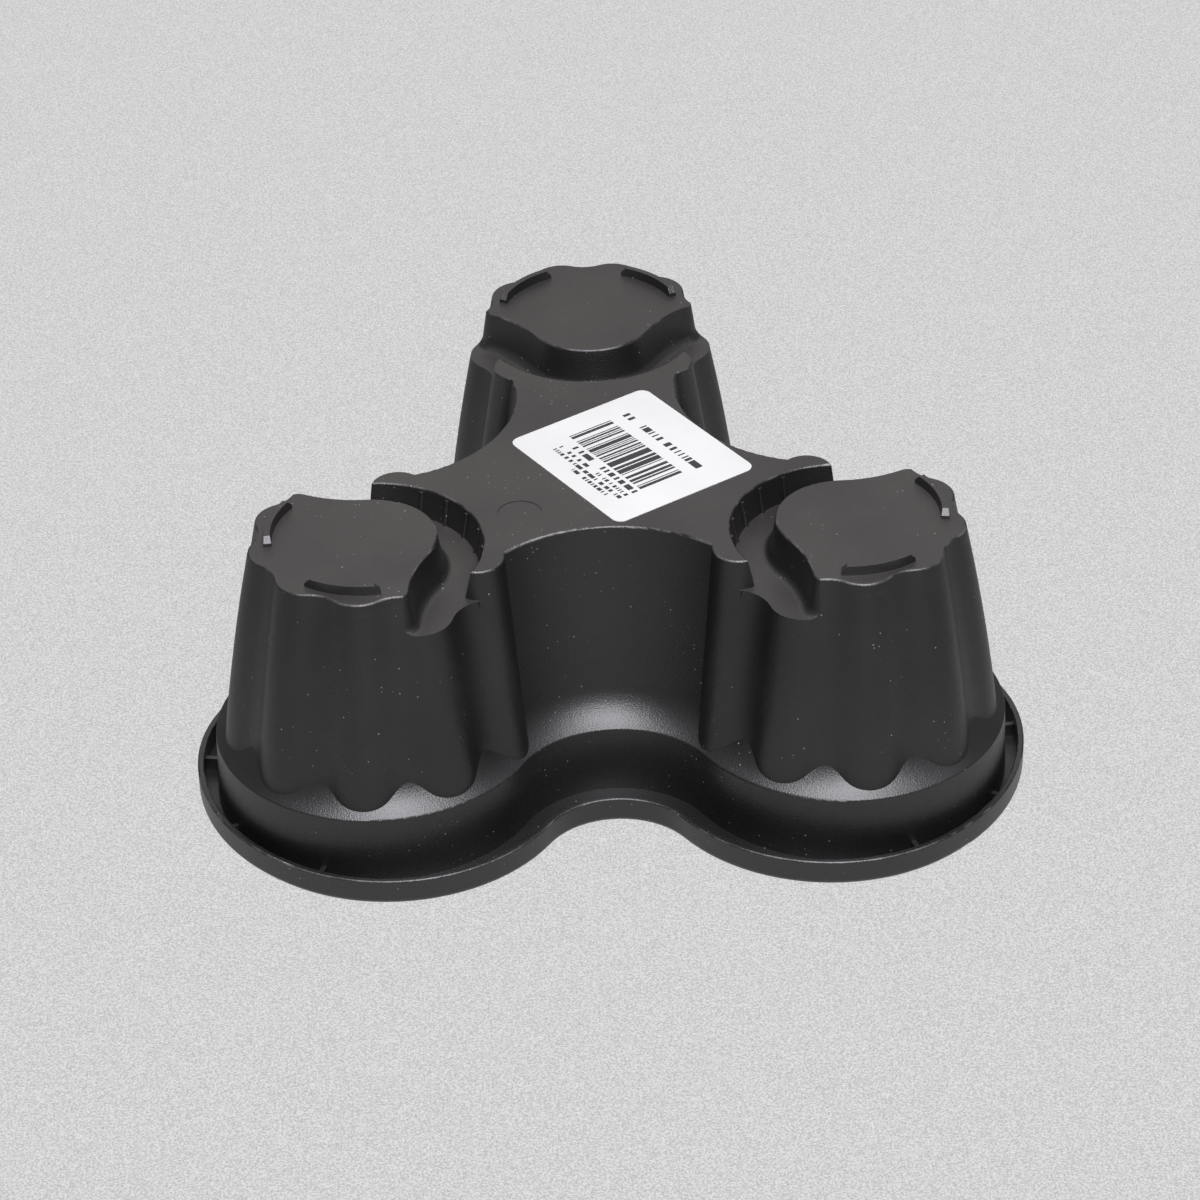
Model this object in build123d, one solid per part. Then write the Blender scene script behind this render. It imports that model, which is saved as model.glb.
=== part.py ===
from build123d import *
import os
from math import acos, atan, cos, pi, radians, sin, sqrt, tan

# A three-lobed herb planter in one moulding, and the paper label stuck under its middle.
# Millimetres, +Z up, standing as it is used: the foot beads are on z = 0 and the mouth is at the top.
# It is worked out about the planter's axis, then moved so that the rim is centred on the origin.

# Layout
lobe_count = 3
first_lobe_angle = 90.0
lobe_offset = 63.5  # planter's axis to a pot's axis, and to the axis of the saddle between two pots
wall = 1.5
overall_height = 73.3

# Heights, each from the level before it
bead_height = 2.2  # ground to foot face
plate_setback = 2.4  # foot face to centre plate
recess_depth = 7.2  # centre plate to recess ledge
band_height = 18.5  # shoulder edge to mouth
skirt_height = 6.6  # skirt's lower edge to mouth

# Fluted pots, sized at the foot face
flute_count = 10
rib_reach = 28.0  # pot's axis to a rib's crest
rib_round = 7.5
flute_depth = 2.3
rib_bow = 0.65  # how far the middle of a pot's side stands out from a straight one
rib_step = 1.7  # rib's crest to the shoulder edge, at the level of that edge
wall_steps = 3  # sections above the first that shape a pot's wall

# Shoulder and upright band
shoulder_radius = 38.7
shoulder_edge_round = 0.6
flare_round = 11.0
flare_sink = 0.4  # how far inside the valleys the flare starts
band_draft = 2.0

# Saddles, sized at the centre plate
saddle_radius = 35.5
plate_edge_round = 0.5

# Horns: the round ribs where a pot meets a saddle
horn_round = 6.2
horn_plate_reach = 25.9  # pot's axis to the horn's axis at the centre plate
horn_plate_angle = 135.0
horn_shoulder_reach = 32.0  # the same at the shoulder edge
horn_shoulder_angle = 125.0

# Feet
nose_radius = 16.0
nose_half_angle = 61.5
nose_draft = 8.0
nose_fillet = 2.2  # hollow round between a foot's nose and the ledge
nose_steps = 6  # facets across that round
ogee_radius = 30.0
ogee_sweep = 29.0
foot_corner_round = 3.0
foot_edge_round = 0.5
bead_radius = 23.1
bead_width = 1.4  # across the top of a bead
bead_draft = 8.0
bead_end_chamfer = 1.3
bead_start_angle = 23.6
bead_end_angle = 67.4

# Recess round each foot
recess_radius = 26.6
recess_draft = 11.0
recess_rib_count = 5
recess_rib_pitch = 16.0
recess_rib_round = 0.5
recess_rib_setback = 0.9  # centre plate to the ribs' ends

# Rim
rim_overhang = 4.1  # shoulder edge to rim's edge at a lobe's end
rim_waist_overhang = 11.7  # the same between two lobes
rim_end_round = 53.0
rim_side_round = 43.0
rim_side_angle = 28.0
rim_edge_round = 1.4
skirt_edge_round = 0.4
mouth_edge_round = 0.9
gusset_angles = (-40.0, 0.0, 40.0)
gusset_height = 3.2
gusset_thickness = 1.2

# Round mark that an ejector leaves on the centre plate
mark_position = (19.8, -20.7)
mark_diameter = 10.5
mark_depth = 0.15

# Label
label_length = 45.0
label_width = 40.0
label_corner = 2.5
label_thickness = 0.15
label_position = (-7.4, 2.6)
label_angle = 57.1

# Levels
foot_z = bead_height
plate_z = foot_z + plate_setback
ledge_z = plate_z + recess_depth
shoulder_z = overall_height - band_height
band_z = shoulder_z + wall  # where the band's two faces are both clear of the shoulder
skirt_z = overall_height - skirt_height

# Shared layout values
lobe_turn = 360
lobe_pitch = lobe_turn / lobe_count
half_pitch = lobe_pitch / 2
centre_gap = 2 * lobe_offset * sin(radians(half_pitch / 2))
sector_angle = 90 + half_pitch / 2
horn_sector_angle = sector_angle + half_pitch / 2  # takes in the whole of a horn
pot = Vector(lobe_offset, 0)
flute_pitch = lobe_turn / flute_count
rib_axis = rib_reach - rib_round
valley_reach = rib_reach - flute_depth
rib_top = shoulder_radius - rib_step
side_rise = shoulder_z - foot_z
saddle_edge = centre_gap - shoulder_radius
rim_reach = lobe_offset + shoulder_radius + rim_overhang
rim_waist = lobe_offset - saddle_edge + rim_waist_overhang


def polar(radius, angle, centre=Vector(0, 0)):
    """The point at a radius and an angle about a centre."""
    return centre + Vector(radius, 0).rotate(Axis.Z, angle)


def towards(start, end, distance):
    """The point at a distance from start on the line to end."""
    return start + (end - start).normalized() * distance


def at(height, sketch):
    """A plan sketch lifted to a height."""
    return Pos(0, 0, height) * sketch


def slope(draft):
    """Sideways shift per unit of height of a wall with a draft."""
    return tan(radians(draft))


def each_lobe(part):
    """Copies of a part made on the +X lobe, one on each lobe."""
    return [Rot(0, 0, first_lobe_angle + lobe_pitch * turn) * part for turn in range(lobe_count)]


def each_saddle(part):
    """Copies of a part made on the +X side, one between each two lobes."""
    return [Rot(0, 0, half_pitch) * copy for copy in each_lobe(part)]


def valley_round():
    """Radius of the hollow between two ribs that leaves the stated flute depth."""
    run = valley_reach - rib_axis * cos(radians(flute_pitch / 2))
    side = rib_axis * sin(radians(flute_pitch / 2))
    return (run**2 + side**2 - rib_round**2) / (2 * (rib_round - run))


def rib_growth(height):
    """How many times as wide as at the foot face a pot is, on sides that bow out a little."""
    share = (height - foot_z) / side_rise
    bow = 4 * rib_bow * share * (1 - share)
    return 1 + ((rib_top - rib_reach) * share + bow) / rib_reach


def horn_axis(height, side):
    """The point of a horn's leaning axis at a height."""
    low = polar(horn_plate_reach, side * horn_plate_angle, pot)
    high = polar(horn_shoulder_reach, side * horn_shoulder_angle, pot)
    return low + (high - low) * ((height - plate_z) / (shoulder_z - plate_z))


def rib_circle(turn, height, inset, horned):
    """Centre and radius of one rib of a pot at a height, where the ribs at the saddles may be the horns."""
    angle = (turn + 1 / 2) * flute_pitch
    side = 1 if angle < lobe_turn / 2 else -1
    swing = angle if side > 0 else lobe_turn - angle
    if horned and abs(swing - horn_shoulder_angle) < flute_pitch / 2:
        return horn_axis(height, side), horn_round - inset
    growth = rib_growth(height)
    return polar(rib_axis * growth, angle, pot), rib_round * growth - inset


def valley_centre(rib, next_rib, radius):
    """Centre of the hollow round that joins two ribs smoothly."""
    step = next_rib[0] - rib[0]
    reach = [rib[1] + radius, next_rib[1] + radius]
    along = (reach[0] ** 2 - reach[1] ** 2 + step.length**2) / (2 * step.length)
    out = step.normalized().rotate(Axis.Z, -90)
    return rib[0] + step.normalized() * along + out * sqrt(reach[0] ** 2 - along**2)


def flute_section(height, inset, horned):
    """One level of a pot: round ribs joined smoothly by hollow valleys."""
    hollow = valley_round() * rib_growth(height) + inset
    ribs = [rib_circle(turn, height, inset, horned) for turn in range(flute_count)]
    edges = []
    for turn in range(flute_count):
        last, rib, following = ribs[turn - 1], ribs[turn], ribs[(turn + 1) % flute_count]
        valley = valley_centre(last, rib, hollow)
        next_valley = valley_centre(rib, following, hollow)
        start = towards(last[0], valley, last[1])
        join = towards(rib[0], valley, rib[1])
        end = towards(rib[0], next_valley, rib[1])
        bottom = towards(valley, (start + join) / 2, hollow)
        crest = towards(rib[0], (join + end) / 2, rib[1])
        edges += [ThreePointArc(start, bottom, join), ThreePointArc(join, crest, end)]
    return at(height, make_face(edges))


def valley_lean():
    """Lean of a pot's wall at the top of its valleys."""
    return atan((rib_top - rib_reach - 4 * rib_bow) / side_rise * valley_reach / rib_reach)


def flare_centre():
    """Centre of the round that carries a pot's wall out to the shoulder edge, in the pot's upright plane."""
    lean = valley_lean()
    along = Vector(sin(lean), 0, cos(lean))
    base = Vector(valley_reach * rib_growth(shoulder_z) - flare_sink, 0, shoulder_z)
    start = base + Vector(cos(lean), 0, -sin(lean)) * flare_round
    shift = start - Vector(shoulder_radius, 0, shoulder_z)
    lag = shift.dot(along)
    return start - along * (lag + sqrt(lag**2 - shift.dot(shift) + flare_round**2))


def flare_arc(centre, out, band_x, inset):
    """Start, middle and end of that round, from a wall that faces a direction to the upright band."""
    radius = flare_round + inset
    start = centre - out * radius
    end = Vector(band_x, 0, centre.Z + sqrt(radius**2 - (band_x - centre.X) ** 2))
    return start, towards(centre, (start + end) / 2, radius), end


def lip_arc(reach, lean, level):
    """Ends and middle of the round edge between a level face and a wall that leans in above it."""
    centre = Vector(reach + plate_edge_round * corner_shift(lean), 0, level + plate_edge_round)
    flat_end = centre - Vector(0, 0, plate_edge_round)
    wall_end = centre - Vector(cos(lean), 0, sin(lean)) * plate_edge_round
    return flat_end, towards(centre, (flat_end + wall_end) / 2, plate_edge_round), wall_end


def corner_shift(lean):
    """Sideways shift, per unit of inset, of the corner between a level face and a leaning wall."""
    return (1 - sin(lean)) / cos(lean)


def band_radius(height, inset):
    """Radius of a lobe of the upright band at a height."""
    return shoulder_radius - inset + (height - shoulder_z) * slope(band_draft)


def shoulder_turn(edges, corner):
    """A profile with its shoulder corner rounded, turned about a lobe's axis."""
    profile = make_face(edges)
    sharp = profile.vertices().sort_by_distance(corner)[0]
    return Pos(pot) * revolve(fillet(sharp, shoulder_edge_round), Axis.Z)


def pot_flare(inset):
    """The flare at the top of a pot's wall, out to the band."""
    lean = valley_lean()
    along = Vector(sin(lean), 0, cos(lean))
    out = Vector(cos(lean), 0, -sin(lean))
    start, middle, end = flare_arc(flare_centre(), out, shoulder_radius - inset, inset)
    low = shoulder_z - flare_round
    foot = start + along * ((low - start.Z) / along.Z)
    crown = Vector(band_radius(band_z, inset), 0, band_z)
    line = Polyline(end, crown, Vector(0, 0, band_z), Vector(0, 0, low), foot, start)
    return shoulder_turn([line, ThreePointArc(start, middle, end)], end)


def saddle_space(inset):
    """The space outside a saddle's wall, from the ground to the band. Its flare meets those of the pots."""
    centre = Vector(centre_gap - flare_centre().X, 0, flare_centre().Z)
    rise = centre - Vector(saddle_radius, 0, plate_z)
    lean = acos(flare_round / rise.length) - atan(-rise.Z / rise.X)
    out = Vector(-cos(lean), 0, -sin(lean))
    start, middle, end = flare_arc(centre, out, saddle_edge + inset, inset)
    lip = lip_arc(saddle_radius + inset * corner_shift(lean), lean, plate_z + inset)
    crown = Vector(centre_gap - band_radius(band_z, inset), 0, band_z)
    edges = [
        Polyline(end, crown, Vector(0, 0, band_z), Vector(0, 0, 0), Vector(lip[0].X, 0, 0), lip[0]),
        ThreePointArc(*lip),
        Line(lip[2], start),
        ThreePointArc(start, middle, end),
    ]
    return shoulder_turn(edges, end)


def pot_sector(angle):
    """The upright wedge about a pot's axis that reaches an angle to both sides of its outward direction."""
    corners = [polar(2 * shoulder_radius, angle * step / 2, pot) for step in range(-2, 3)]
    return extrude(make_face(Polyline(pot, *corners, close=True)), overall_height)


def pot_wall(inset):
    """A pot from the recess ledge to the shoulder edge: the fluted wall with its horns, and the flare."""
    low = ledge_z + inset
    levels = [low + (shoulder_z - low) * step / wall_steps for step in range(wall_steps + 1)]
    fluted = loft([flute_section(height, inset, True) for height in levels])
    flare = pot_flare(inset) & pot_sector(sector_angle)
    return (fluted & pot_sector(horn_sector_angle)) + flare


def foot_plan(grow):
    """Plan of the space a foot may fill: a round nose towards the middle, swept out to both flanks."""
    swing = 180 - nose_half_angle
    leave = ogee_sweep - nose_half_angle
    ogee = polar(nose_radius + ogee_radius, swing, pot)
    corner = polar(ogee_radius + foot_corner_round, leave, ogee)
    hollow = ogee_radius - grow
    turn = foot_corner_round + grow
    tip = polar(nose_radius + grow, 180, pot)
    half = [
        polar(nose_radius + grow, swing, pot),
        polar(hollow, leave - ogee_sweep / 2, ogee),
        polar(hollow, leave, ogee),
        polar(turn, 90 + (90 + leave) / 2, corner),
        polar(turn, 90, corner),
    ]
    other = [Vector(point.X, -point.Y) for point in half]
    far = lobe_offset + shoulder_radius
    return make_face(
        [
            ThreePointArc(other[0], tip, half[0]),
            ThreePointArc(*half[:3]),
            ThreePointArc(*half[2:]),
            Polyline(half[4], Vector(far, half[4].Y), Vector(far, other[4].Y), other[4]),
            ThreePointArc(*other[2:]),
            ThreePointArc(*other[:3]),
        ]
    )


def nose_levels(inset):
    """Height and growth of each section of a foot's nose: a straight wall, then a round onto the ledge."""
    lean = radians(nose_draft)
    radius = nose_fillet + inset
    centre_z = ledge_z - nose_fillet
    centre_growth = (centre_z - foot_z) * tan(lean) + nose_fillet / cos(lean)
    levels = [(foot_z + inset, inset * tan(lean) - inset / cos(lean))]
    for step in range(nose_steps + 1):
        angle = lean + (pi / 2 - lean) * step / nose_steps
        levels.append((centre_z + radius * sin(angle), centre_growth - radius * cos(angle)))
    return levels


def foot(inset):
    """A pot's foot, from its face to the recess ledge."""
    levels = [foot_z + inset, ledge_z + inset]
    fluted = loft([flute_section(height, inset, False) for height in levels], ruled=True)
    plans = [at(height, foot_plan(growth)) for height, growth in nose_levels(inset)]
    return fluted & loft(plans, ruled=True)


def horn(inset, side):
    """The low end of a horn, from the centre plate to the recess ledge."""
    start = horn_axis(plate_z + inset, side) + Vector(0, 0, plate_z + inset)
    run = horn_axis(ledge_z + inset, side) + Vector(0, 0, ledge_z + inset) - start
    rod = extrude(Pos(start) * Circle(horn_round - inset), run.length, dir=run)
    return fillet(rod.edges().group_by(Axis.Z)[0], plate_edge_round)


def tip_space(inset, side):
    """The space beside a horn's tip, over the ledge, where the centre plate stops at the horn."""
    corners = [polar(lobe_offset, side * angle, pot) for angle in (sector_angle, horn_plate_angle)]
    return extrude(make_face(Polyline(pot, *corners, close=True)), ledge_z + inset)


def recess_space(inset):
    """The round space about a pot's axis that parts the foot from the centre plate."""
    lean = radians(recess_draft)
    reach = recess_radius + inset * corner_shift(lean)
    lip = lip_arc(reach, lean, plate_z + inset)
    top = Vector(reach - recess_depth * slope(recess_draft), 0, ledge_z + inset)
    line = Polyline(lip[2], top, Vector(0, 0, top.Z), Vector(0, 0, 0), Vector(lip[0].X, 0, 0), lip[0])
    return Pos(pot) * revolve(make_face([line, ThreePointArc(*lip)]), Axis.Z)


def middle(inset):
    """The middle between the pots: centre plate, saddle walls and horns, with the recesses cut in."""
    low = plate_z + inset
    outline = Rot(0, 0, first_lobe_angle) * RegularPolygon(lobe_offset, 2 * lobe_count)
    core = extrude(at(low, outline), band_z - low) - each_saddle(saddle_space(inset))
    core -= each_lobe(tip_space(inset, 1)) + each_lobe(tip_space(inset, -1))
    horns = each_lobe(horn(inset, 1)) + each_lobe(horn(inset, -1))
    return core + horns - each_lobe(recess_space(inset))


def trefoil(radius):
    """Plan outline of round lobes joined smoothly by round hollows."""
    hollow = centre_gap - radius
    edges = []
    for turn in range(lobe_count):
        angle = first_lobe_angle + lobe_pitch * turn
        lobe = polar(lobe_offset, angle)
        next_lobe = polar(lobe_offset, angle + lobe_pitch)
        start = polar(radius, angle - sector_angle, lobe)
        end = polar(radius, angle + sector_angle, lobe)
        next_start = polar(radius, angle + lobe_pitch - sector_angle, next_lobe)
        waist = polar(lobe_offset - hollow, angle + half_pitch)
        crown = polar(radius, angle, lobe)
        edges += [ThreePointArc(start, crown, end), ThreePointArc(end, waist, next_start)]
    return make_face(edges)


def band(inset, top):
    """The upright band between the shoulder edge and the mouth."""
    levels = [band_z, top]
    return loft([at(height, trefoil(band_radius(height, inset))) for height in levels], ruled=True)


def form(inset, top):
    """The planter's outside as a solid, or its inside space when inset by the wall."""
    return middle(inset) + each_lobe(pot_wall(inset)) + each_lobe(foot(inset)) + band(inset, top)


def rim_plan(inset):
    """Plan outline of the rim: broad lobe ends, rounder sides and a hollow waist between lobes."""
    end_centre = Vector(rim_reach - rim_end_round, 0)
    side_centre = polar(rim_end_round - rim_side_round, rim_side_angle, end_centre)
    turned = side_centre.rotate(Axis.Z, -half_pitch)
    run = rim_waist - turned.X
    hollow = (run**2 + turned.Y**2 - rim_side_round**2) / (2 * (rim_side_round - run))
    waist_centre = polar(rim_waist + hollow, half_pitch)
    end_join = polar(rim_end_round - inset, rim_side_angle, end_centre)
    waist_join = towards(side_centre, waist_centre, rim_side_round - inset)
    side_middle = towards(side_centre, (end_join + waist_join) / 2, rim_side_round - inset)
    waist = polar(rim_waist - inset, half_pitch)
    half = [end_join, side_middle, waist_join]
    other = [Vector(point.X, -point.Y) for point in half]
    next_join = other[2].rotate(Axis.Z, lobe_pitch)
    edges = [
        ThreePointArc(other[2], other[1], other[0]),
        ThreePointArc(other[0], Vector(rim_reach - inset, 0), half[0]),
        ThreePointArc(half[0], half[1], half[2]),
        ThreePointArc(half[2], waist, next_join),
    ]
    return make_face([copy for edge in edges for copy in each_lobe(edge)])


def rim():
    """The flat rim round the mouth with its turned-down skirt and the gussets between skirt and band."""
    block = extrude(at(skirt_z, rim_plan(0)), skirt_height)
    block = fillet(block.edges().group_by(Axis.Z)[-1], rim_edge_round)
    tray = block - extrude(at(skirt_z, rim_plan(wall)), skirt_height - wall)
    tray = fillet(tray.edges().group_by(Axis.Z)[0], skirt_edge_round)
    low = overall_height - wall - gusset_height
    base = (Align.MIN, Align.CENTER, Align.MIN)
    fin = Box(rim_reach - lobe_offset, gusset_thickness, gusset_height + wall / 2, align=base)
    fin = Pos(shoulder_radius - wall / 2, 0, low) * fin
    fins = [Pos(pot) * Rot(0, 0, angle) * fin for angle in gusset_angles]
    return tray + [(copy & block) for one in fins for copy in each_lobe(one)]


def beads():
    """The two raised arcs that a foot stands on, with sloping ends."""
    deep = bead_height + wall / 2
    half = [bead_width / 2, bead_width / 2 + deep * slope(bead_draft)]
    corners = [(bead_radius - half[0], 0), (bead_radius + half[0], 0)]
    corners += [(bead_radius + half[1], deep), (bead_radius - half[1], deep)]
    profile = make_face(Polyline(*[Vector(x, 0, z) for x, z in corners], close=True))
    bar = revolve(profile, Axis.Z, bead_end_angle - bead_start_angle)
    ends = bar.edges().group_by(Axis.Z)[0].filter_by(GeomType.LINE)
    bar = chamfer(ends, bead_end_chamfer)
    return [Pos(pot) * Rot(0, 0, start) * bar for start in (bead_start_angle, -bead_end_angle)]


def recess_ribs():
    """The fine upright ribs on the recess wall under the edge of the centre plate."""
    rise = recess_depth - recess_rib_setback
    run = Vector(-rise * slope(recess_draft), 0, rise)
    foot = (recess_radius - recess_rib_setback * slope(recess_draft), 0, plate_z + recess_rib_setback)
    rib = extrude(Pos(foot) * Circle(recess_rib_round), run.length, dir=run)
    first = 180 - recess_rib_pitch * (recess_rib_count - 1) / 2
    return [Pos(pot) * Rot(0, 0, first + recess_rib_pitch * step) * rib for step in range(recess_rib_count)]


def planter_body():
    """The whole moulding."""
    solid = form(0, overall_height) + rim() - form(wall, overall_height + wall)
    mouth = solid.faces().sort_by(Axis.Z)[-1].inner_wires()[0]
    solid = fillet(mouth.edges(), mouth_edge_round)
    solid = fillet(solid.edges().group_by(Axis.Z)[0], foot_edge_round)
    solid += [copy for one in beads() + recess_ribs() for copy in each_lobe(one)]
    mark = Cylinder(mark_diameter / 2, mark_depth, align=(Align.CENTER, Align.CENTER, Align.MIN))
    return solid - Pos(*mark_position, plate_z) * mark


def paper_label():
    """The label, stuck to the underside of the centre plate."""
    place = Pos(*label_position, plate_z - label_thickness) * Rot(0, 0, label_angle)
    return place * extrude(RectangleRounded(label_length, label_width, label_corner), label_thickness)


rim_centre = rim_plan(0).bounding_box().center()
place = Pos(-rim_centre.X, -rim_centre.Y, 0)
os.makedirs("parts", exist_ok=True)
export_step(place * planter_body(), "parts/planter_body.step")
export_step(place * paper_label(), "parts/paper_label.step")
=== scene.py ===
"""Dress a three-lobed herb planter: black moulded plastic, with a paper label stuck under its middle."""

import logging
from dataclasses import dataclass
from enum import Enum
from math import radians
from typing import Any

import bpy
from mathutils import Euler, Matrix, Vector


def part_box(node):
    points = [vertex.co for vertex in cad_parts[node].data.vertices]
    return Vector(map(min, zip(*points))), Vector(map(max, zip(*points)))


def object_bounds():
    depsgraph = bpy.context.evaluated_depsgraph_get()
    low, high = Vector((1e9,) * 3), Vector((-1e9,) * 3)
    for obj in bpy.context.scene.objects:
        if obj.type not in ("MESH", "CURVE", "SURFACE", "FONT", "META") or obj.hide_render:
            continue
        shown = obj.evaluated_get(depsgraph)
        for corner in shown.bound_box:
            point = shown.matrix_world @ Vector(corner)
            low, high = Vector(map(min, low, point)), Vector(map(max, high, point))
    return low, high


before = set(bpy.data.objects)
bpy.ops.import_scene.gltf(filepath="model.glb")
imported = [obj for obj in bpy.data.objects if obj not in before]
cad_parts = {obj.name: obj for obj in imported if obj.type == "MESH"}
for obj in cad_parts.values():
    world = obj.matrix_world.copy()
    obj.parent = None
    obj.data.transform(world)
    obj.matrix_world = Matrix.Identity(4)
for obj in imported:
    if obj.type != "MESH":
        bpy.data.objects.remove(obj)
CAD_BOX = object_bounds()

LOG = logging.getLogger("herb_planter")
MM = 0.001

Colour = tuple[float, float, float]
Point = tuple[float, float, float]
Span = tuple[float, float]
Socket = bpy.types.NodeSocket
Source = Socket | float
Tint = Socket | Colour


class Side(Enum):
    """Which way up the planter stands on a floor."""

    UPRIGHT = "upright"
    UPTURNED = "upturned"


class Coordinate(Enum):
    """What a shader reads about the spot that it colours, in a material in the planter's own frame."""

    PLACE = "Object"
    FACING = "Normal"
    DIRECTION = "Generated"


def opaque(tint: Tint) -> Any:
    """Give a plain colour its alpha, and leave a socket as it is."""
    return (*tint, 1.0) if isinstance(tint, tuple) else tint


class NodeSheet:
    """A node tree that is filled in one node at a time."""

    # Where a Mix node that is set to colours has its sockets.
    MIX_MASK = 0
    MIX_BELOW = 6
    MIX_ABOVE = 7
    MIX_RESULT = 2

    def __init__(self, tree: bpy.types.NodeTree) -> None:
        """Start on an empty tree, of a material, a world or a group."""
        self.tree = tree
        tree.nodes.clear()

    def add(self, kind: str, inputs: dict[Any, Any] | None = None, **settings: Any) -> bpy.types.Node:
        """Add one node, set it up and wire it.

        Args:
            kind: the node's type name, without its ShaderNode prefix.
            inputs: a value or a source socket for each named or numbered input.
            settings: the node's own properties.

        Returns:
            The new node.
        """
        node = self.tree.nodes.new(kind if kind.startswith("Node") else f"ShaderNode{kind}")
        for name, value in settings.items():
            setattr(node, name, value)
        for key, value in (inputs or {}).items():
            if isinstance(value, Socket):
                self.tree.links.new(value, node.inputs[key])
            else:
                node.inputs[key].default_value = value
        return node

    def read(self, coordinate: Coordinate) -> Socket:
        """Read one of the texture coordinates."""
        return self.add("TexCoord").outputs[coordinate.value]

    def upward(self, vector: Socket) -> Socket:
        """Read a vector's upward part."""
        return self.add("SeparateXYZ", {"Vector": vector}).outputs["Z"]

    def math(self, operation: str, *values: Source) -> Socket:
        """Add a Math node with its inputs in order, each a number or a socket, and give its result."""
        return self.add("Math", dict(enumerate(values)), operation=operation).outputs["Value"]

    def ramp(self, value: Socket, low: Source, high: Source) -> Socket:
        """Make a mask that rises smoothly from 0 at low to 1 at high, which may be below low."""
        inputs = {"Value": value, "From Min": low, "From Max": high}
        return self.add("MapRange", inputs, interpolation_type="SMOOTHSTEP").outputs["Result"]

    def noise(self, vector: Socket, scale: Source, detail: float = 2.0) -> Socket:
        """Add a noise of so many lumps per metre, whose value is about 0.5 on average."""
        inputs = {"Vector": vector, "Scale": scale, "Detail": detail}
        return self.add("TexNoise", inputs).outputs["Fac"]

    def mix(self, mask: Source, below: Tint, above: Tint) -> Socket:
        """Mix two colours by a mask: 0 gives below and 1 gives above."""
        inputs = {self.MIX_MASK: mask, self.MIX_BELOW: opaque(below), self.MIX_ABOVE: opaque(above)}
        return self.add("Mix", inputs, data_type="RGBA").outputs[self.MIX_RESULT]

    def join(self, masks: list[Socket]) -> Socket:
        """Join masks into one that shows wherever any of them does.

        Args:
            masks: at least one mask.

        Returns:
            The joined mask.
        """
        joined = masks[0]
        for mask in masks[1:]:
            joined = self.math("MAXIMUM", joined, mask)
        return joined

    def bump(self, height: Socket, strength: float, depth: float) -> Socket:
        """Turn a height into a normal, where a height of 1 stands out by the depth, in metres."""
        inputs = {"Height": height, "Strength": strength, "Distance": depth}
        return self.add("Bump", inputs).outputs["Normal"]

    def blend(self, share: Source, first: Socket, second: Socket) -> Socket:
        """Mix two shaders: a share of 0 gives the first and 1 gives the second."""
        return self.add("MixShader", {0: share, 1: first, 2: second}).outputs["Shader"]

    def coat(self, inputs: dict[str, Any]) -> None:
        """Finish a material with a Principled shader, given a value or a socket for each named input."""
        shader = self.add("BsdfPrincipled", inputs)
        self.add("OutputMaterial", {"Surface": shader.outputs["BSDF"]})


def material_sheet(name: str) -> tuple[bpy.types.Material, NodeSheet]:
    """Start a material.

    Args:
        name: its name.

    Returns:
        The material and the sheet to fill in.
    """
    material = bpy.data.materials.new(name)
    material.use_nodes = True
    return material, NodeSheet(material.node_tree)


def group_sheet(name: str, inputs: tuple[str, ...], outputs: tuple[str, ...]) -> tuple[NodeSheet, Any]:
    """Start a shader group that takes a place and some numbers, and puts out masks or heights.

    Args:
        name: the group's name.
        inputs: its number inputs, which come after the place.
        outputs: its number outputs.

    Returns:
        The sheet to fill in and the sockets of what the group is given.
    """
    tree = bpy.data.node_groups.new(name, "ShaderNodeTree")
    tree.interface.new_socket("Place", in_out="INPUT", socket_type="NodeSocketVector")
    for label in inputs:
        tree.interface.new_socket(label, in_out="INPUT", socket_type="NodeSocketFloat")
    for label in outputs:
        tree.interface.new_socket(label, in_out="OUTPUT", socket_type="NodeSocketFloat")
    sheet = NodeSheet(tree)
    return sheet, sheet.add("NodeGroupInput").outputs


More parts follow.
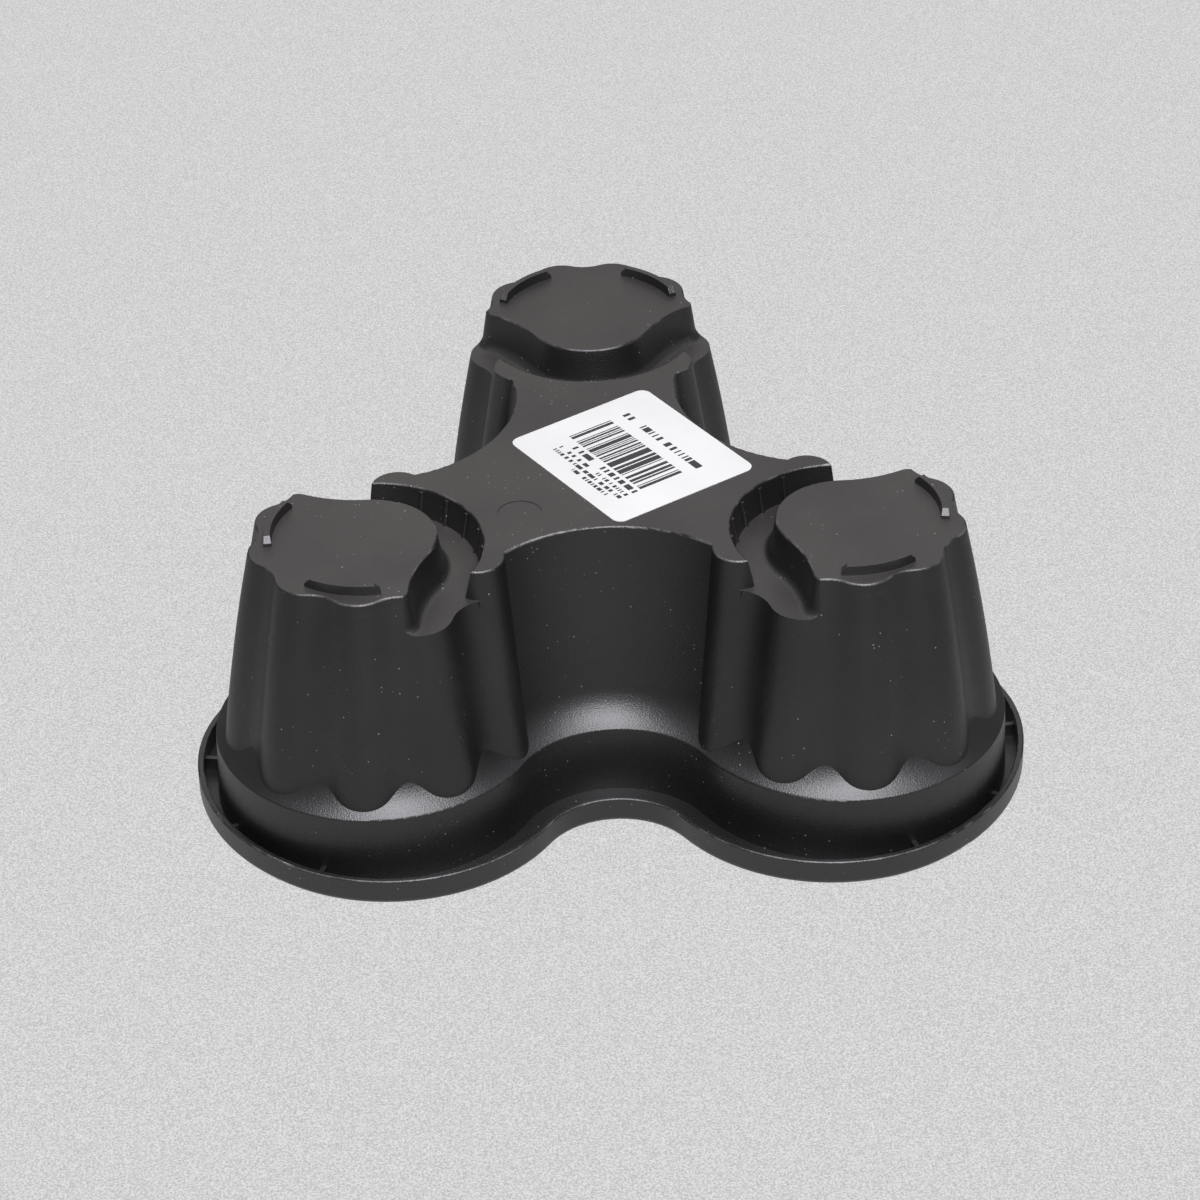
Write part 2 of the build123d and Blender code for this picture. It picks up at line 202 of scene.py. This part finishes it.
@dataclass
class SurfaceEffects:
    """The shader groups that more than one finish uses.

    A pair of limits gives where a mask starts to rise and where it is full. A speck's sizes are shares of
    the room that it has, and its faintest is the least of it that shows.
    """

    grain_detail: float = 3.0
    drift_detail: float = 4.0
    drift_limits: Span = (0.3, 0.7)
    dust_drifts: float = 55.0
    dust_limits: Span = (0.4, 0.75)
    speck_least: float = 0.07
    speck_spread: float = 0.12
    speck_core: float = 0.5
    speck_faintest: float = 0.3

    def __post_init__(self) -> None:
        """Build each group once."""
        self.grain = self.build_grain()
        self.dust = self.build_dust()

    def build_grain(self) -> bpy.types.NodeTree:
        """Make the fine grain of a surface and the slow drift of its tone.

        Returns:
            A group that puts out the grain's height and the drift, each from 0 to 1.
        """
        sheet, given = group_sheet("fine_grain", ("Grains", "Drifts"), ("Height", "Drift"))
        height = sheet.noise(given["Place"], given["Grains"], self.grain_detail)
        drift = sheet.noise(given["Place"], given["Drifts"], self.drift_detail)
        sheet.add("NodeGroupOutput", {"Height": height, "Drift": sheet.ramp(drift, *self.drift_limits)})
        return sheet.tree

    def build_dust(self) -> bpy.types.NodeTree:
        """Make drifts of dust specks of chance sizes.

        Returns:
            A group that puts out a mask of the specks.
        """
        sheet, given = group_sheet("dust", ("Specks", "Share"), ("Dust",))
        cells = sheet.add("TexVoronoi", {"Vector": given["Place"], "Scale": given["Specks"]})
        draw = sheet.add("SeparateColor", {"Color": cells.outputs["Color"]}).outputs
        drift = sheet.ramp(sheet.noise(given["Place"], self.dust_drifts), *self.dust_limits)
        share = sheet.math("MULTIPLY", given["Share"], drift)
        kept = sheet.math("LESS_THAN", draw["Red"], share)
        reach = sheet.math("MULTIPLY_ADD", draw["Green"], self.speck_spread, self.speck_least)
        core = sheet.math("MULTIPLY", reach, self.speck_core)
        speck = sheet.ramp(cells.outputs["Distance"], reach, core)
        strength = sheet.math("MULTIPLY_ADD", draw["Blue"], 1 - self.speck_faintest, self.speck_faintest)
        shown = sheet.math("MULTIPLY", kept, strength)
        sheet.add("NodeGroupOutput", {"Dust": sheet.math("MULTIPLY", speck, shown)})
        return sheet.tree

    def place_grain(
        self, sheet: NodeSheet, place: Socket, grains: float, drifts: float = 0.0
    ) -> tuple[Socket, Socket]:
        """Put the grain in a material.

        Args:
            sheet: the material's sheet.
            place: the surface's place in the planter's frame.
            grains: grains per metre.
            drifts: drifts of tone per metre, or 0 where the finish uses none.

        Returns:
            The grain's height and the drift.
        """
        inputs = {"Place": place, "Grains": grains, "Drifts": drifts}
        group = sheet.add("Group", inputs, node_tree=self.grain)
        return group.outputs["Height"], group.outputs["Drift"]

    def place_dust(self, sheet: NodeSheet, place: Socket, specks: float, share: float) -> Socket:
        """Put the dust in a material: places for a speck per metre, and the share of them that hold one."""
        inputs = {"Place": place, "Specks": specks, "Share": share}
        return sheet.add("Group", inputs, node_tree=self.dust).outputs["Dust"]


@dataclass(frozen=True)
class BlackPlastic:
    """Black injection-moulded plastic: satin walls, and matt flats on the soles, plate and ledges, whose
    lighter tone is painted light from the key lamp.

    Facing is the upward part of a surface's normal, -1 where it looks straight down. Each edge has the
    height where it starts and its depth, and these and the slack below an edge are in millimetres.
    """

    effects: SurfaceEffects
    colour: Colour = (0.0033, 0.0032, 0.0033)
    pale: Colour = (0.0063, 0.006, 0.006)
    # The flats' tones are lighter than the walls': painted light where the flats face the key lamp
    flat_lit_colour: Colour = (0.009, 0.0075, 0.0066)
    flat_lit_pale: Colour = (0.023, 0.02, 0.018)
    dust_colour: Colour = (0.45, 0.435, 0.42)
    # Pale tone of the rounded edges: partly wear, partly a painted highlight
    edge_wear_and_highlight_colour: Colour = (0.075, 0.0735, 0.072)
    refraction: float = 1.6
    gloss: float = 0.75
    roughness: float = 0.38
    flat_roughness: float = 0.5
    drift_roughness: float = 0.05
    grains: float = 2600.0
    drifts: float = 28.0
    specks: float = 760.0
    dust_share: float = 0.6
    dust_cover: float = 0.6
    dust_lift: float = 0.5
    bump_strength: float = 0.8
    bump_depth: float = 0.1 * MM
    flat_level: float = 12.5 * MM
    flat_fade: float = 0.2 * MM
    flat_facing: Span = (-0.9, -0.99)
    wall_facing: Span = (-0.15, -0.4)
    wear_and_highlight_patches: float = 210.0
    wear_and_highlight_detail: float = 4.0
    wear_and_highlight_limits: Span = (0.42, 0.7)
    sole_edge: Span = (2.2, 0.55)
    plate_edge: Span = (4.6, 0.55)
    skirt_edge: Span = (66.7, 0.45)
    edge_slack: float = 0.05

    def build(self) -> bpy.types.Material:
        """Make the material.

        Returns:
            The finished material.
        """
        material, sheet = material_sheet("black_plastic")
        place = sheet.read(Coordinate.PLACE)
        height = sheet.upward(place)
        facing = sheet.upward(sheet.read(Coordinate.FACING))
        grain, drift = self.effects.place_grain(sheet, place, self.grains, self.drifts)
        dust = self.effects.place_dust(sheet, place, self.specks, self.dust_share)
        flat = self.flats(sheet, height, facing)
        wall_tone = sheet.mix(drift, self.colour, self.pale)
        # Painted light: the flats get a lighter tone, as if lit by the key lamp; their higher roughness is
        # the real matt finish
        flat_lit_tone = sheet.mix(drift, self.flat_lit_colour, self.flat_lit_pale)
        clean = sheet.mix(flat, wall_tone, flat_lit_tone)
        # Pale patches on the rounded edges that lean towards the key lamp: partly wear, partly a painted
        # highlight
        worn_and_highlit = sheet.mix(self.edge_wear_and_highlight_mask(sheet, place, height, facing), clean, self.edge_wear_and_highlight_colour)
        dusty = sheet.mix(sheet.math("MULTIPLY", dust, self.dust_cover), worn_and_highlit, self.dust_colour)
        base = sheet.math("MULTIPLY_ADD", flat, self.flat_roughness - self.roughness, self.roughness)
        lift = sheet.math("MULTIPLY_ADD", dust, self.dust_lift, grain)
        sheet.coat({
            "Base Color": dusty,
            "Roughness": sheet.math("MULTIPLY_ADD", drift, self.drift_roughness, base),
            "Normal": sheet.bump(lift, self.bump_strength, self.bump_depth),
            "IOR": self.refraction,
            "Specular IOR Level": self.gloss,
        })
        return material

    def flats(self, sheet: NodeSheet, height: Socket, facing: Socket) -> Socket:
        """Make a mask of the level faces that look down at the foot end: they get a rougher matt finish,
        and a lighter tone that is painted light from the key lamp.
        """
        low = sheet.ramp(height, self.flat_level + self.flat_fade, self.flat_level)
        return sheet.math("MULTIPLY", low, sheet.ramp(facing, *self.flat_facing))

    def edge_wear_and_highlight_mask(self, sheet: NodeSheet, place: Socket, height: Socket, facing: Socket) -> Socket:
        """Find the rounded edges of the soles, plate and skirt that lean towards the key lamp, painted pale
        in patches: partly wear, partly a painted highlight.

        Args:
            sheet: the material's sheet.
            place: the surface's place in the planter's frame.
            height: its height over the ground.
            facing: its facing.

        Returns:
            Their mask.
        """
        off_flat = sheet.ramp(facing, *reversed(self.flat_facing))
        off_wall = sheet.ramp(facing, *self.wall_facing)
        patches = sheet.ramp(sheet.noise(place, self.wear_and_highlight_patches, self.wear_and_highlight_detail), *self.wear_and_highlight_limits)
        patchy_wear_and_highlight = sheet.math("MULTIPLY", sheet.math("MULTIPLY", off_flat, off_wall), patches)
        edges = []
        for start, depth in (self.sole_edge, self.plate_edge, self.skirt_edge):
            above = sheet.math("GREATER_THAN", height, (start - self.edge_slack) * MM)
            below = sheet.math("LESS_THAN", height, (start + depth) * MM)
            edges.append(sheet.math("MULTIPLY", above, below))
        return sheet.math("MULTIPLY", sheet.join(edges), patchy_wear_and_highlight)


@dataclass(frozen=True)
class StrokeRow:
    """A row of printed strokes of chance widths on the label.

    Sizes are in millimetres, with x along the label's longer side and y along its shorter side. The module
    is the width of the thinnest stroke, and the share is how much of the row is inked.
    """

    x: float
    y: float
    length: float
    height: float
    module: float
    share: float

    def mask(self, sheet: NodeSheet, along: Socket, across: Socket) -> Socket:
        """Draw the row.

        Args:
            sheet: the material's sheet.
            along: the place along the label's longer side, in metres.
            across: the place along its shorter side.

        Returns:
            The mask of the ink.
        """
        run = sheet.math("SUBTRACT", along, self.x * MM)
        rise = sheet.math("SUBTRACT", across, self.y * MM)
        index = sheet.math("FLOOR", sheet.math("DIVIDE", run, self.module * MM))
        seed = sheet.math("ADD", index, self.y)
        draw = sheet.add("TexWhiteNoise", {"W": seed}, noise_dimensions="1D").outputs["Value"]
        ink = sheet.math("LESS_THAN", draw, self.share)
        for value, width in ((run, self.length), (rise, self.height)):
            inside = sheet.math("LESS_THAN", sheet.math("ABSOLUTE", value), width * MM / 2)
            ink = sheet.math("MULTIPLY", ink, inside)
        return ink


@dataclass(frozen=True)
class PrintedPaper:
    """White label paper with a plain block of bars and a few rows of strokes.

    The centre and the turn, in radians, are the label's own in the planter's frame.
    """

    effects: SurfaceEffects
    centre: Point
    turn: float
    colour: Colour = (0.63, 0.637, 0.618)
    shade: Colour = (0.592, 0.598, 0.58)
    ink: Colour = (0.03, 0.03, 0.031)
    refraction: float = 1.45
    roughness: float = 0.62
    drift_roughness: float = 0.08
    grains: float = 3400.0
    drifts: float = 60.0
    specks: float = 420.0
    dust_share: float = 0.05
    dust_cover: float = 0.2
    bump_strength: float = 0.2
    bump_depth: float = 0.03 * MM
    rows: tuple[StrokeRow, ...] = (
        StrokeRow(0.5, -1.2, 30.6, 12.2, 0.34, 0.5),
        StrokeRow(0.0, 9.4, 31.0, 2.0, 0.5, 0.45),
        StrokeRow(-0.5, -9.0, 30.0, 1.6, 0.8, 0.45),
        StrokeRow(-0.5, -11.4, 27.0, 1.1, 0.45, 0.5),
        StrokeRow(-0.5, -13.2, 27.0, 1.1, 0.45, 0.5),
        StrokeRow(-4.5, -15.0, 15.0, 1.1, 0.45, 0.5),
    )

    def build(self) -> bpy.types.Material:
        """Make the material.

        Returns:
            The finished material.
        """
        material, sheet = material_sheet("label_paper")
        place = sheet.read(Coordinate.PLACE)
        grain, drift = self.effects.place_grain(sheet, place, self.grains, self.drifts)
        dust = self.effects.place_dust(sheet, place, self.specks, self.dust_share)
        paper = sheet.mix(drift, self.colour, self.shade)
        soiled = sheet.mix(sheet.math("MULTIPLY", dust, self.dust_cover), paper, self.ink)
        sheet.coat({
            "Base Color": sheet.mix(self.strokes(sheet, place), soiled, self.ink),
            "Roughness": sheet.math("MULTIPLY_ADD", drift, self.drift_roughness, self.roughness),
            "Normal": sheet.bump(grain, self.bump_strength, self.bump_depth),
            "IOR": self.refraction,
        })
        return material

    def strokes(self, sheet: NodeSheet, place: Socket) -> Socket:
        """Draw all the rows of strokes.

        Args:
            sheet: the material's sheet.
            place: the surface's place in the planter's frame.

        Returns:
            The mask of the ink.
        """
        turned = {"Vector": place, "Location": self.centre, "Rotation": (0.0, 0.0, self.turn)}
        local = sheet.add("Mapping", turned, vector_type="TEXTURE").outputs["Vector"]
        axes = sheet.add("SeparateXYZ", {"Vector": local}).outputs
        return sheet.join([row.mask(sheet, axes["X"], axes["Y"]) for row in self.rows])


@dataclass
class Planter:
    """The moulding and its label, as the frame holds them. The label's turn is in degrees."""

    body_node: str = "planter_body"
    label_node: str = "paper_label"
    label_turn: float = 57.1

    def dress(self, node: str, material: bpy.types.Material) -> None:
        """Give a piece its finish all over.

        Args:
            node: the piece's name.
            material: the finish.
        """
        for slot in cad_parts[node].material_slots:
            slot.material = material
        LOG.info("%s dressed in %s", node, material.name)

    def build(self, effects: SurfaceEffects) -> None:
        """Dress both pieces.

        Args:
            effects: the shared surface effects.
        """
        low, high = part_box(self.label_node)
        centre = (low + high) / 2
        paper = PrintedPaper(effects, tuple(centre), radians(self.label_turn))
        self.dress(self.body_node, BlackPlastic(effects).build())
        self.dress(self.label_node, paper.build())


@dataclass(frozen=True)
class FloorPaint:
    """A pale grainy floor that shows from its face alone and lets everything through from behind."""

    effects: SurfaceEffects
    colour: Colour
    grains: float = 2200.0
    grain_share: float = 0.26
    grain_limits: Span = (0.25, 0.75)
    glow: float = 0.97

    def build(self) -> bpy.types.Material:
        """Make the material.

        Returns:
            The finished material.
        """
        material, sheet = material_sheet("pale_floor")
        grain, _ = self.effects.place_grain(sheet, sheet.read(Coordinate.PLACE), self.grains)
        dark = tuple(part * (1 - self.grain_share) for part in self.colour)
        light = tuple(part * (1 + self.grain_share) for part in self.colour)
        tint = sheet.mix(sheet.ramp(grain, *self.grain_limits), dark, light)
        lit = sheet.add("BsdfDiffuse", {"Color": tint}).outputs["BSDF"]
        even = sheet.add("Emission", {"Color": tint}).outputs["Emission"]
        through = sheet.add("BsdfTransparent").outputs["BSDF"]
        behind = sheet.add("NewGeometry").outputs["Backfacing"]
        shader = sheet.blend(behind, sheet.blend(self.glow, lit, even), through)
        sheet.add("OutputMaterial", {"Surface": shader})
        return material


@dataclass(frozen=True)
class Panel:
    """A soft lamp panel: where it hangs, its sizes across and up its slope, and its light."""

    name: str
    place: Point
    size: Span
    watts: float
    colour: Colour

    def hang(self) -> None:
        """Hang the panel, turned towards the planter."""
        light = bpy.data.lights.new(self.name, "AREA")
        light.shape = "RECTANGLE"
        light.size, light.size_y = self.size
        light.energy = self.watts
        light.color = self.colour
        lamp = bpy.data.objects.new(self.name, light)
        lamp.location = self.place
        aim = (CAD_BOX[0] + CAD_BOX[1]) / 2 - lamp.location
        lamp.rotation_euler = aim.to_track_quat("-Z", "Y").to_euler()
        bpy.context.collection.objects.link(lamp)
        LOG.info("%s hung at %s", self.name, self.place)


@dataclass
class Studio:
    """The floors, lamps, backdrop and camera.

    The planter stands upturned in the photograph, so the camera looks up at it from under the frame's
    ground. One floor carries the upright planter and the other the upturned one. A tall panel hangs over
    the photograph's camera and a wide one behind the planter. The room's light changes with the upward part
    of its direction: from dim to that of the horizon over the low span, and on to bright over the high one.
    The camera's angles are in degrees.
    """

    floor_size: float = 6.0
    floor_unseen: tuple[str, ...] = ("diffuse", "glossy", "transmission", "shadow", "volume_scatter")
    panels: tuple[Panel, ...] = (
        Panel("key", (-0.07, -0.5, -0.87), (0.6, 1.3), 20.5, (0.965, 0.945, 1.0)),
        Panel("back", (0.0, 1.0, -0.7), (1.2, 1.0), 2.1, (1.0, 0.95, 0.925)),
    )
    backdrop: Colour = (0.64, 0.64, 0.64)
    dim: Colour = (0.105, 0.105, 0.11)
    horizon: Colour = (0.2, 0.2, 0.206)
    bright: Colour = (0.65, 0.645, 0.65)
    low_span: Span = (-0.8, -0.35)
    high_span: Span = (0.36, 0.6)
    eye: Point = (0.0252, -0.8197, -0.508)
    look_up: float = 34.42
    look_aside: float = 1.72
    roll: float = 178.59
    lens: float = 120.8
    sensor: float = 36.0

    def floor(self, side: Side, paint: bpy.types.Material) -> None:
        """Lay one floor.

        Args:
            side: which way up the planter stands on it.
            paint: its material.
        """
        level = CAD_BOX[0].z if side is Side.UPRIGHT else CAD_BOX[1].z
        half = self.floor_size / 2
        corners = [(-half, -half), (half, -half), (half, half), (-half, half)]
        if side is Side.UPTURNED:
            corners.reverse()
        mesh = bpy.data.meshes.new(f"floor_{side.value}")
        mesh.from_pydata([(x, y, level) for x, y in corners], [], [(0, 1, 2, 3)])
        mesh.materials.append(paint)
        floor = bpy.data.objects.new(mesh.name, mesh)
        bpy.context.collection.objects.link(floor)
        for ray in self.floor_unseen:
            setattr(floor, f"visible_{ray}", False)
        LOG.info("%s laid at %.4f m", floor.name, level)

    def world(self) -> None:
        """Light the room softly, brightest from above the upright planter, with an even backdrop."""
        world = bpy.data.worlds.new("backdrop")
        bpy.context.scene.world = world
        world.use_nodes = True
        sheet = NodeSheet(world.node_tree)
        rise = sheet.upward(sheet.read(Coordinate.DIRECTION))
        low = sheet.mix(sheet.ramp(rise, *self.low_span), self.dim, self.horizon)
        room = sheet.mix(sheet.ramp(rise, *self.high_span), low, self.bright)
        ambient = sheet.add("Background", {"Color": room}).outputs["Background"]
        seen = sheet.add("Background", {"Color": opaque(self.backdrop)}).outputs["Background"]
        camera = sheet.add("LightPath").outputs["Is Camera Ray"]
        sheet.add("OutputWorld", {"Surface": sheet.blend(camera, ambient, seen)})

    def camera(self) -> None:
        """Set up the photograph's camera."""
        data = bpy.data.cameras.new("photo_camera")
        data.lens = self.lens
        data.sensor_width = self.sensor
        camera = bpy.data.objects.new("photo_camera", data)
        turn = Euler((radians(90 + self.look_up), 0.0, radians(self.look_aside))).to_matrix().to_4x4()
        tilt = Matrix.Rotation(radians(self.roll), 4, "Z")
        camera.matrix_world = Matrix.Translation(Vector(self.eye)) @ turn @ tilt
        bpy.context.collection.objects.link(camera)
        bpy.context.scene.camera = camera
        LOG.info("camera set at %s", self.eye)

    def build(self, effects: SurfaceEffects) -> None:
        """Set up everything round the planter.

        Args:
            effects: the shared surface effects.
        """
        paint = FloorPaint(effects, self.backdrop).build()
        for side in Side:
            self.floor(side, paint)
        for panel in self.panels:
            panel.hang()
        self.world()
        self.camera()
        bpy.context.scene.view_settings.view_transform = "Standard"


def main() -> None:
    """Dress the planter, set up the studio and log where things are placed."""
    logging.basicConfig(level=logging.INFO)
    effects = SurfaceEffects()
    Planter().build(effects)
    Studio().build(effects)


if __name__ == "__main__":
    main()
